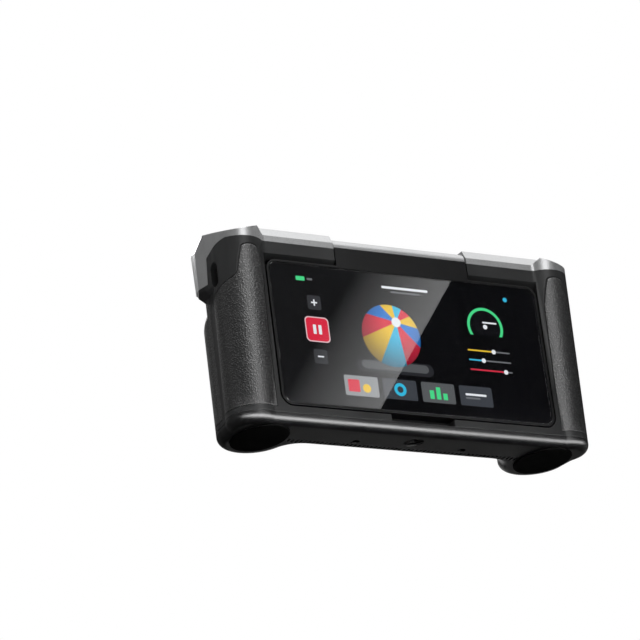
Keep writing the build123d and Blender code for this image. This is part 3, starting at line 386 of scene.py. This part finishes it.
def lit_display(name):
    """Display with a plain control page: a striped ball on a turntable, pages, sliders and buttons."""
    material, tree, shader = new_finish(name)
    shader.inputs["Base Color"].default_value = (0.003, 0.003, 0.004, 1.0)
    shader.inputs["Roughness"].default_value = 0.35
    shader.inputs["Specular IOR Level"].default_value = 0.05
    shader.inputs["Emission Strength"].default_value = 1.0

    def over(below, mask, colour):
        """Layer of a colour, fixed or linked, over what is below."""
        node = tree.nodes.new("ShaderNodeMix")
        node.data_type = "RGBA"
        tree.links.new(mask, node.inputs["Factor"])
        if isinstance(below, tuple):
            node.inputs["A"].default_value = (*below, 1.0)
        else:
            tree.links.new(below, node.inputs["A"])
        if isinstance(colour, tuple):
            node.inputs["B"].default_value = (*colour, 1.0)
        else:
            tree.links.new(colour, node.inputs["B"])
        return node.outputs["Result"]

    def box_mask(x, z, half_width, half_height, corner):
        """Mask of one mark."""
        node = put_group(
            tree, lit_box, X=x, Z=z, Half_width=half_width, Half_height=half_height, Corner=corner)
        return node.outputs["Mask"]

    picture = PAGE_BLACK
    for x, z, half_width, half_height, corner, colour in (
        title_bar + left_controls + level_dial + sliders + page_strip + turntable
    ):
        picture = over(picture, box_mask(x, z, half_width, half_height, corner), colour)

    # The ball's stripes fan out from a pole near its top, and its rim falls into shade
    place = tree.nodes.new("ShaderNodeMapping")
    place.inputs["Location"].default_value = (-pole[0] * MM, 0.0, -pole[1] * MM)
    tree.links.new(object_place(tree), place.inputs["Vector"])
    parts = tree.nodes.new("ShaderNodeSeparateXYZ")
    tree.links.new(place.outputs["Vector"], parts.inputs[0])
    turn = math_node(tree, "ARCTAN2", parts.outputs["Z"], parts.outputs["X"])
    turns = math_node(tree, "DIVIDE", turn, 2 * math.pi)
    share = math_node(tree, "FRACT", math_node(tree, "ADD", turns, pole_turn))
    stripes = tree.nodes.new("ShaderNodeValToRGB")
    stripes.color_ramp.interpolation = "CONSTANT"
    stripe_colours = (RED, YELLOW, CYAN, RED, BLUE, YELLOW, RED, CYAN, YELLOW, BLUE)
    while len(stripes.color_ramp.elements) < len(stripe_colours):
        stripes.color_ramp.elements.new(0.5)
    for index, colour in enumerate(stripe_colours):
        stripes.color_ramp.elements[index].position = index / len(stripe_colours)
        stripes.color_ramp.elements[index].color = (*colour, 1.0)
    tree.links.new(share, stripes.inputs["Fac"])
    distance = tree.nodes.new("ShaderNodeVectorMath")
    distance.operation = "LENGTH"
    flat = tree.nodes.new("ShaderNodeCombineXYZ")
    tree.links.new(parts.outputs["X"], flat.inputs["X"])
    tree.links.new(parts.outputs["Z"], flat.inputs["Z"])
    tree.links.new(flat.outputs["Vector"], distance.inputs[0])
    shade = spread(tree, distance.outputs["Value"], 0.0, 0.8, shade_start * MM, shade_stop * MM)
    ball = over(stripes.outputs["Color"], shade, BALL_SHADE)
    cap_start, cap_stop = (cap_radius - cap_edge) * MM, (cap_radius + cap_edge) * MM
    cap = spread(tree, distance.outputs["Value"], 1.0, 0.0, cap_start, cap_stop)
    ball = over(ball, cap, WHITE)
    picture = over(picture, box_mask(*ball_middle, ball_radius, ball_radius, ball_radius), ball)
    tree.links.new(picture, shader.inputs["Emission Color"])
    return material


finishes["display"] = lit_display("display")


# Each solid wears the finish of its slot; the tripod insert wears a near-black steel instead, painted shade
# that makes its hole read dark

slot_of = {entry["node"]: entry["material_slot"] for entry in frame["record"]["subparts"]}
painted_shade_finish = {"tripod_insert": "hole_shade_steel"}
for name, piece in nodes.items():
    piece.data.materials.clear()
    piece.data.materials.append(finishes[painted_shade_finish.get(name, slot_of[name])])


# Lenses: a stepped ring and a domed glass on each camera, behind the scan window. Sizes are in millimetres

face_middle = Vector((0.0, 19.5, 96.5)) * MM
face_normal = Vector((0.0, 25.0, -4.0)).normalized()
ring_depth = 2.4
ring_gap = 0.05
ring_height = 0.15
ring_land = 0.85
ring_slope = 0.3
ring_wall = 0.3
ring_ledge = 0.25
ring_lip = 0.35
dome_depth = 4.05
dome_rim = 1.75
dome_height = 1.15
dome_cut = 0.35  # where the ball is cut, as a share of its radius
lens_smooth = 30.0
camera_flange = 1.2  # how far the flange at a camera's foot stands out past its rim
cameras = {  # the solid that a ring and a glass sit on
    "far_left": "far_camera_left", "far_right": "far_camera_right",
    "near_left": "near_camera_left", "near_right": "near_camera_right", "colour": "colour_camera",
}


def edit_faces(piece, test):
    """Edit mode with only the faces that pass a test selected."""
    bpy.ops.object.mode_set(mode="EDIT")
    bpy.ops.mesh.select_mode(type="FACE")
    bpy.ops.mesh.select_all(action="DESELECT")
    bpy.ops.object.mode_set(mode="OBJECT")
    for face in piece.data.polygons:
        face.select = test(face)
    bpy.ops.object.mode_set(mode="EDIT")


def sink(drop):
    """Selected face pushed straight down."""
    bpy.ops.mesh.extrude_region_move(TRANSFORM_OT_translate={"value": (0.0, 0.0, -drop * MM)})


def make_lens_ring(name, radius):
    """Ring on a camera's rim that steps down towards the glass."""
    bpy.ops.mesh.primitive_cylinder_add(vertices=64, radius=radius * MM, depth=ring_height * MM)
    ring = bpy.context.object
    ring.name = name
    edit_faces(ring, lambda face: face.normal.z > FACING)
    bpy.ops.mesh.inset(thickness=ring_land * MM, depth=0.0)
    bpy.ops.mesh.inset(thickness=ring_slope * MM, depth=-ring_slope * MM)
    sink(ring_wall)
    bpy.ops.mesh.inset(thickness=ring_ledge * MM, depth=0.0)
    sink(ring_lip)
    bpy.ops.mesh.delete(type="FACE")
    edit_faces(ring, lambda face: face.normal.z < -FACING)
    bpy.ops.mesh.delete(type="FACE")
    bpy.ops.object.mode_set(mode="OBJECT")
    return ring


def make_lens_dome(name, radius):
    """Domed glass: the top of a ball, cut level and pressed to its height."""
    bpy.ops.mesh.primitive_uv_sphere_add(segments=48, ring_count=24, radius=radius * MM)
    dome = bpy.context.object
    dome.name = name
    level = dome_cut * radius * MM
    bpy.ops.object.mode_set(mode="EDIT")
    bpy.ops.mesh.select_all(action="SELECT")
    bpy.ops.mesh.bisect(
        plane_co=(0.0, 0.0, level), plane_no=(0.0, 0.0, 1.0), clear_inner=True, use_fill=True)
    bpy.ops.mesh.select_all(action="SELECT")
    bpy.ops.transform.translate(value=(0.0, 0.0, -level))
    widen = 1.0 / math.sqrt(1.0 - dome_cut**2)
    press = dome_height / ((1.0 - dome_cut) * radius)
    bpy.ops.transform.resize(value=(widen, widen, press), center_override=(0.0, 0.0, 0.0))
    bpy.ops.object.mode_set(mode="OBJECT")
    return dome


def set_on_face(piece, x, depth, finish):
    """Piece put at a place along the scan face, so far behind it, with its own Z along the face's normal."""
    piece.location = face_middle + Vector((x * MM, 0.0, 0.0)) - face_normal * depth * MM
    piece.rotation_euler = face_normal.to_track_quat("Z", "Y").to_euler()
    bpy.ops.object.transform_apply(location=True, rotation=True, scale=True)
    bpy.ops.object.shade_smooth_by_angle(angle=math.radians(lens_smooth))
    piece.data.materials.append(finishes[finish])
    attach(piece, "housing")


for place, node in cameras.items():
    (left, _, _), (right, _, _) = box_in_mm(node)
    x = (left + right) / 2
    radius = (right - left) / 2 - camera_flange
    bpy.ops.object.select_all(action="DESELECT")
    set_on_face(make_lens_ring(place + "_ring", radius - ring_gap), x, ring_depth, "steel")
    bpy.ops.object.select_all(action="DESELECT")
    set_on_face(make_lens_dome(place + "_lens", radius - dome_rim), x, dome_depth, "lens_glass")


# Cover glass of the screen, a hair clear of the display, and the black border printed on its back

glass_corner = 4.7
ground_edge = 0.2
display_gap = 0.05  # from the glass to the display
print_gap = 0.01  # from the border to the glass and to the display
print_inset = 0.1  # from the border's outline to the glass's
plate_smooth = 15.0
glass_low, glass_high = box_in_mm("screen_glass")
page_low, page_high = box_in_mm("display_panel")
glass_high[1] = page_low[1] - display_gap
border_low = (glass_low[0] + print_inset, glass_high[1] + print_gap, glass_low[2] + print_inset)
border_high = (glass_high[0] - print_inset, page_low[1] - print_gap, glass_high[2] - print_inset)
border_corner = glass_corner - print_inset
border_width = border_high[2] - page_high[2]


def make_plate(name, low, high, corner):
    """Plate between two corners in millimetres, its outline rounded in front view."""
    bpy.ops.object.select_all(action="DESELECT")
    bpy.ops.mesh.primitive_cube_add(size=1.0)
    plate = bpy.context.object
    plate.name = name
    size = [(b - a) * MM for a, b in zip(low, high)]
    middle = [(a + b) / 2 * MM for a, b in zip(low, high)]
    bpy.ops.object.mode_set(mode="EDIT")
    bpy.ops.mesh.select_all(action="SELECT")
    bpy.ops.transform.resize(value=size)
    bpy.ops.transform.translate(value=middle)
    bpy.ops.mesh.select_mode(type="EDGE")
    bpy.ops.mesh.select_all(action="DESELECT")
    bpy.ops.object.mode_set(mode="OBJECT")
    spots = plate.data.vertices
    for edge in plate.data.edges:
        first, second = (spots[index].co for index in edge.vertices)
        edge.select = abs(first.y - second.y) > 0.5 * size[1]
    bpy.ops.object.mode_set(mode="EDIT")
    bpy.ops.mesh.bevel(offset=corner * MM, segments=10, affect="EDGES")
    return plate


def set_on_screen(piece, finish):
    """Piece finished and set to ride on the screen."""
    bpy.ops.object.mode_set(mode="OBJECT")
    bpy.ops.object.shade_smooth_by_angle(angle=math.radians(plate_smooth))
    piece.data.materials.append(finishes[finish])
    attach(piece, "screen")


cover_glass = make_plate("cover_glass", glass_low, glass_high, glass_corner)
edit_faces(cover_glass, lambda face: face.normal.y < -FACING)
bpy.ops.mesh.bevel(offset=ground_edge * MM, segments=3, affect="EDGES")
set_on_screen(cover_glass, "screen_glass")
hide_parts("screen_glass")

glass_border = make_plate("glass_border", border_low, border_high, border_corner)
edit_faces(glass_border, lambda face: abs(face.normal.y) > FACING)
bpy.ops.mesh.inset(thickness=border_width * MM, depth=0.0)
bpy.ops.transform.resize(value=(page_high[0] / (border_high[0] - border_width), 1.0, 1.0))
bpy.ops.mesh.bridge_edge_loops()
set_on_screen(glass_border, "display")


# Floor, world, lamps, camera and cards. The cards' places are in millimetres

front_y, back_y, far_back_y = -1026, 500, 1100
left_x, right_x, far_right_x = -800, 900, 2400
low_z, edge_low_z, edge_high_z = -300, 227, 1233
dim_foot_x, lit_foot_x = 356, 454
dim_head_x, lit_head_x = 1064, 1163
grip_left_x, grip_right_x = -213, 300
grip_foot_z, grip_head_z = -140, 700
side_low_z, right_high_z, side_high_z = -100, 600, 700
cheek_x, end_x, end_high_z = -60, 160, 330
rim_left_x, rim_right_x, rim_y = -150, 160, -33
rim_left_z, rim_right_z, rim_top_z = -9, -8, 1.5
under_reach, under_z = 2000, -400


def make_floor():
    """Pale floor under the scanner. The camera from below, the lamps and reflections go through it."""
    bpy.ops.mesh.primitive_plane_add(size=8.0, location=(0, 0, 0))
    floor = bpy.context.object
    floor.name = "pale_floor"
    material, tree, shader = new_finish("pale_floor")
    shader.inputs["Base Color"].default_value = (0.86, 0.86, 0.86, 1.0)
    shader.inputs["Roughness"].default_value = 0.8
    shader.inputs["Specular IOR Level"].default_value = 0.1
    side = tree.nodes.new("ShaderNodeNewGeometry")
    path = tree.nodes.new("ShaderNodeLightPath")
    through = math_node(tree, "MAXIMUM", side.outputs["Backfacing"], path.outputs["Is Shadow Ray"])
    through = math_node(tree, "MAXIMUM", through, path.outputs["Is Glossy Ray"])
    clear = tree.nodes.new("ShaderNodeBsdfTransparent")
    mixed = tree.nodes.new("ShaderNodeMixShader")
    tree.links.new(through, mixed.inputs["Fac"])
    tree.links.new(shader.outputs["BSDF"], mixed.inputs[1])
    tree.links.new(clear.outputs["BSDF"], mixed.inputs[2])
    tree.links.new(mixed.outputs["Shader"], tree.nodes["Material Output"].inputs["Surface"])
    floor.data.materials.append(material)


def make_world():
    """White to the eye and in reflections, and a soft grey light on everything else."""
    world = bpy.data.worlds.new("studio_white")
    bpy.context.scene.world = world
    world.use_nodes = True
    tree = world.node_tree
    sky = tree.nodes["Background"]
    sky.inputs["Color"].default_value = (1.0, 1.0, 1.0, 1.0)
    path = tree.nodes.new("ShaderNodeLightPath")
    seen = math_node(tree, "MAXIMUM", path.outputs["Is Camera Ray"], path.outputs["Is Glossy Ray"])
    seen = math_node(tree, "MAXIMUM", seen, path.outputs["Is Transmission Ray"])
    soft_light = 0.45
    tree.links.new(spread(tree, seen, soft_light, 1.0, 0.0, 1.0), sky.inputs["Strength"])


def add_softbox(name, place, aim, width, height, watts):
    """Rectangular lamp that looks at a point."""
    bpy.ops.object.light_add(type="AREA", location=place)
    lamp = bpy.context.object
    lamp.name = name
    lamp.rotation_euler = (Vector(aim) - Vector(place)).to_track_quat("-Z", "Y").to_euler()
    lamp.data.shape = "RECTANGLE"
    lamp.data.size = width
    lamp.data.size_y = height
    lamp.data.energy = watts


def make_camera():
    """Long lens at the photograph's angle, below the scanner and to its left."""
    bpy.ops.object.camera_add(
        location=(-0.94197, -1.45298, -0.62593),
        rotation=[math.radians(turn) for turn in (112.300, 6.852, -29.004)],
    )
    camera = bpy.context.object
    camera.data.lens = 200.0
    camera.data.sensor_width = 36.0
    bpy.context.scene.camera = camera


def add_card(name, corners, brightness, fade=(1.0, 1.0, 1.0, 1.0)):
    """Card that only reflections and rays through glass see, with its share of light at each corner.

    The corners are in millimetres: the ends of one edge, and then those of the edge across from it.
    """
    bpy.ops.mesh.primitive_plane_add(size=1.0)
    card = bpy.context.object
    card.name = name
    for vertex, corner in zip(card.data.vertices, corners):
        vertex.co = Vector(corner) * MM
    shares = card.data.color_attributes.new("share", "FLOAT_COLOR", "POINT")
    for entry, share in zip(shares.data, fade):
        entry.color = (share, share, share, 1.0)
    material = bpy.data.materials.new(name)
    material.use_nodes = True
    tree = material.node_tree
    tree.nodes.remove(tree.nodes["Principled BSDF"])
    share = tree.nodes.new("ShaderNodeAttribute")
    share.attribute_name = "share"
    glow = tree.nodes.new("ShaderNodeEmission")
    glow.inputs["Strength"].default_value = brightness
    tree.links.new(share.outputs["Color"], glow.inputs["Color"])
    clear = tree.nodes.new("ShaderNodeBsdfTransparent")
    path = tree.nodes.new("ShaderNodeLightPath")
    mixed = tree.nodes.new("ShaderNodeMixShader")
    seen = math_node(tree, "MAXIMUM", path.outputs["Is Glossy Ray"], path.outputs["Is Transmission Ray"])
    tree.links.new(seen, mixed.inputs["Fac"])
    tree.links.new(clear.outputs["BSDF"], mixed.inputs[1])
    tree.links.new(glow.outputs["Emission"], mixed.inputs[2])
    tree.links.new(mixed.outputs["Shader"], tree.nodes["Material Output"].inputs["Surface"])
    card.data.materials.append(material)


def add_front_card(name, bottom, painted_highlight_top, brightness, fade=(1.0, 1.0, 1.0, 1.0)):
    """Upright card far in front, its bottom and top edges given as (left, right, height)."""
    corners = [(x, front_y, edge[2]) for edge in (bottom, painted_highlight_top) for x in edge[:2]]
    add_card(name, corners, brightness, fade)


def add_wall_card(name, start, stop, low, high, brightness):
    """Upright card from one place to another, each given as (x, y)."""
    corners = [(*place, height) for height in (low, high) for place in (start, stop)]
    add_card(name, corners, brightness)


def add_level_card(name, left, right, front, back, height, brightness):
    """Level card between its four sides."""
    corners = [(x, y, height) for y in (front, back) for x in (left, right)]
    add_card(name, corners, brightness)


make_floor()
make_world()
add_softbox("key_lamp", (0.0, -0.9, 1.2), (0, 0, 0.05), width=0.6, height=0.6, watts=10.0)
add_softbox("side_lamp", (-1.2, 0.5, 0.6), (0, 0, 0.05), width=0.7, height=0.7, watts=1.0)
add_softbox("back_lamp", (0.1, 1.2, 0.9), (0, 0, 0.06), width=0.9, height=0.5, watts=6.0)

# In front: the screen shows the slanting edge between a lit card and a black one
add_front_card("screen_card", (dim_foot_x, lit_foot_x, edge_low_z), (dim_head_x, lit_head_x, edge_high_z),
               brightness=2.0, fade=(0.03, 1.0, 0.03, 1.0))
add_front_card("screen_flag", (lit_foot_x, far_right_x, edge_low_z),
               (lit_head_x, far_right_x, edge_high_z), brightness=0.0)
add_front_card("dim_card", (grip_right_x, dim_foot_x, edge_low_z),
               (grip_right_x, dim_head_x, edge_high_z), brightness=0.06)
add_front_card("low_flag", (grip_right_x, far_right_x, low_z),
               (grip_right_x, far_right_x, edge_low_z), brightness=0.0)
# Also in front: the grips show a lit card, brightest at its foot, between black ones
add_front_card("grip_card", (grip_left_x, grip_right_x, grip_foot_z),
               (grip_left_x, grip_right_x, grip_head_z), brightness=6.0, fade=(1.0, 1.0, 0.0, 0.0))
add_wall_card("right_flag", (right_x, front_y), (right_x, far_back_y),
              side_low_z, right_high_z, brightness=0.0)
add_front_card("flank_flag", (left_x, grip_left_x, low_z),
               (left_x, grip_left_x, edge_high_z), brightness=0.0)
# To the left and behind: dark cards for the cheek and the end of the scan frame
add_wall_card("left_flag", (left_x, back_y), (left_x, front_y), side_low_z, side_high_z, brightness=0.0)
add_wall_card("cheek_flag", (cheek_x, back_y), (left_x, back_y), side_low_z, side_high_z, brightness=0.05)
add_wall_card("end_flag", (end_x, back_y), (cheek_x, back_y), side_low_z, end_high_z, brightness=0.1)
# Above: a lit card for the chamfer of the top cover
add_level_card("top_card", left=-100, right=600, front=-260, back=160, height=560, brightness=1.2)
# Below: a strip close to the rim of the bottom cover, and a black card for its flat
add_card("rim_strip", [(rim_left_x, rim_y, rim_left_z), (rim_right_x, rim_y, rim_right_z),
                       (rim_left_x, rim_y, rim_top_z), (rim_right_x, rim_y, rim_top_z)],
         brightness=20.0, fade=(1.0, 0.6, 1.0, 0.6))
add_level_card("under_flag", -under_reach, under_reach, -under_reach, under_reach, under_z, brightness=0.02)
make_camera()

bpy.context.scene.view_settings.view_transform = "Standard"
